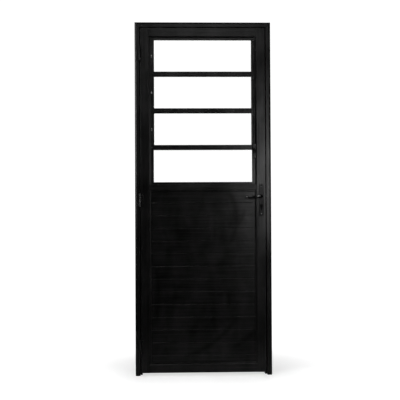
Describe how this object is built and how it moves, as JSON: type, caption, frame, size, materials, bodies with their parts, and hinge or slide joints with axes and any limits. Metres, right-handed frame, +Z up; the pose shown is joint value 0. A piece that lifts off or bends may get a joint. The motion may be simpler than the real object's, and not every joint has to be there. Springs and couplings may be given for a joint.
{
  "type": "hinged door with tilting vent panes",
  "caption": "Black metal hinged door in its frame: boarded lower half, glazed upper half with linked tilting vent sashes over a fixed pane, lever handle and key lock.",
  "frame": {"origin": "on the floor, at the middle of the frame's width and of the leaf's thickness", "axes": "+X to the right seen from the hinge side face, +Y away from that viewer, +Z up"},
  "size_m": [0.81, 0.1124, 2.1],
  "materials": {
    "black_paint": "satin",
    "black_handle": "satin",
    "zinc_steel": "satin",
    "cast_aluminium": "matte",
    "black_nickel": "satin",
    "black_rubber": "matte",
    "clear_glass": "gloss",
    "brush_pile": "matte"
  },
  "bodies": {
    "frame": {"hinge_jamb": "black_paint", "strike_jamb": "black_paint", "head_jamb": "black_paint", "frame_corner_cleats": "cast_aluminium", "frame_seal": "black_rubber", "strike_plate": "zinc_steel", "lower_hinge_frame_flap": "black_paint", "middle_hinge_frame_flap": "black_paint", "upper_hinge_frame_flap": "black_paint", "hinge_pins": "black_paint", "hinge_frame_screws": "black_paint"},
    "sash_1": {"sash_1_frame": "black_paint", "sash_1_gasket": "black_rubber", "sash_1_glass": "clear_glass", "sash_1_lug": "black_paint"},
    "sash_2": {"sash_2_frame": "black_paint", "sash_2_gasket": "black_rubber", "sash_2_glass": "clear_glass", "sash_2_lug": "black_paint"},
    "sash_3": {"sash_3_frame": "black_paint", "sash_3_gasket": "black_rubber", "sash_3_glass": "clear_glass", "sash_3_lug": "black_paint"},
    "link": {"link_bar": "black_paint", "vent_handle": "black_handle"},
    "handle": {"front_lever": "black_handle", "back_lever": "black_handle", "spindle": "zinc_steel", "lock_hub": "zinc_steel"},
    "latch": {"latch_bolt": "zinc_steel"},
    "bolt": {"dead_bolt": "zinc_steel"},
    "core": {"cylinder_core": "black_nickel"},
    "leaf": {"hinge_stile": "black_paint", "lock_stile": "black_paint", "top_rail": "black_paint", "mid_rail": "black_paint", "bottom_rail": "black_paint", "panel_boards": "black_paint", "panel_beads": "black_paint", "window_left_jamb": "black_paint", "window_right_jamb": "black_paint", "window_head": "black_paint", "transom": "black_paint", "fixed_pane_channels": "black_paint", "hinge_leaf_screws": "black_paint", "lower_hinge_leaf_flap": "black_paint", "middle_hinge_leaf_flap": "black_paint", "upper_hinge_leaf_flap": "black_paint", "front_plate": "black_handle", "back_plate": "black_handle", "plate_screws": "zinc_steel", "pivot_pins": "zinc_steel", "lock_faceplate": "zinc_steel", "lock_case": "zinc_steel", "rail_connectors": "cast_aluminium", "lock_cylinder": "black_nickel", "fixed_gasket": "black_rubber", "fixed_glass": "clear_glass", "window_brush_seals": "brush_pile"}
  },
  "joints": [
    {"name": "door_swing", "type": "hinge", "parent": "frame", "child": "leaf", "pos_m": [-0.3745, -0.0215, 1.0415], "axis": [0, 0, -1], "range_deg": [0, 170]},
    {"name": "sash_1_tilt", "type": "hinge", "parent": "leaf", "child": "sash_1", "pos_m": [0.306, 0, 1.90025], "axis": [1, 0, 0], "range_deg": [0, 60]},
    {"name": "sash_2_tilt", "type": "hinge", "parent": "leaf", "child": "sash_2", "pos_m": [0.306, 0, 1.68125], "axis": [1, 0, 0], "range_deg": [0, 60]},
    {"name": "sash_3_tilt", "type": "hinge", "parent": "leaf", "child": "sash_3", "pos_m": [0.306, 0, 1.46225], "axis": [1, 0, 0], "range_deg": [0, 60]},
    {"name": "link_swing", "type": "hinge", "parent": "sash_1", "child": "link", "pos_m": [0.306, -0.015, 1.987], "axis": [1, 0, 0], "range_deg": [-60, 0]},
    {"name": "handle_turn", "type": "hinge", "parent": "leaf", "child": "handle", "pos_m": [0.346, 0, 1.06], "axis": [0, -1, 0], "range_deg": [0, 40], "stiffness_Nm_per_rad": 1.2, "springref_deg": -22.92},
    {"name": "latch_slide", "type": "slide", "parent": "leaf", "child": "latch", "axis": [-1, 0, 0], "range_m": [0, 0.011]},
    {"name": "key_turn", "type": "hinge", "parent": "leaf", "child": "core", "pos_m": [0.346, 0, 1.005], "axis": [0, 1, 0], "range_deg": [0, 360]},
    {"name": "bolt_slide", "type": "slide", "parent": "leaf", "child": "bolt", "axis": [1, 0, 0], "range_m": [0, 0.018]}
  ],
  "couplings": [
    {"joint": "sash_2_tilt", "follows": "sash_1_tilt", "ratio": 1},
    {"joint": "sash_3_tilt", "follows": "sash_1_tilt", "ratio": 1},
    {"joint": "link_swing", "follows": "sash_1_tilt", "ratio": -1},
    {"joint": "latch_slide", "follows": "handle_turn", "m_per_rad": 0.015756},
    {"joint": "bolt_slide", "follows": "key_turn", "m_per_rad": 0.0028647}
  ]
}
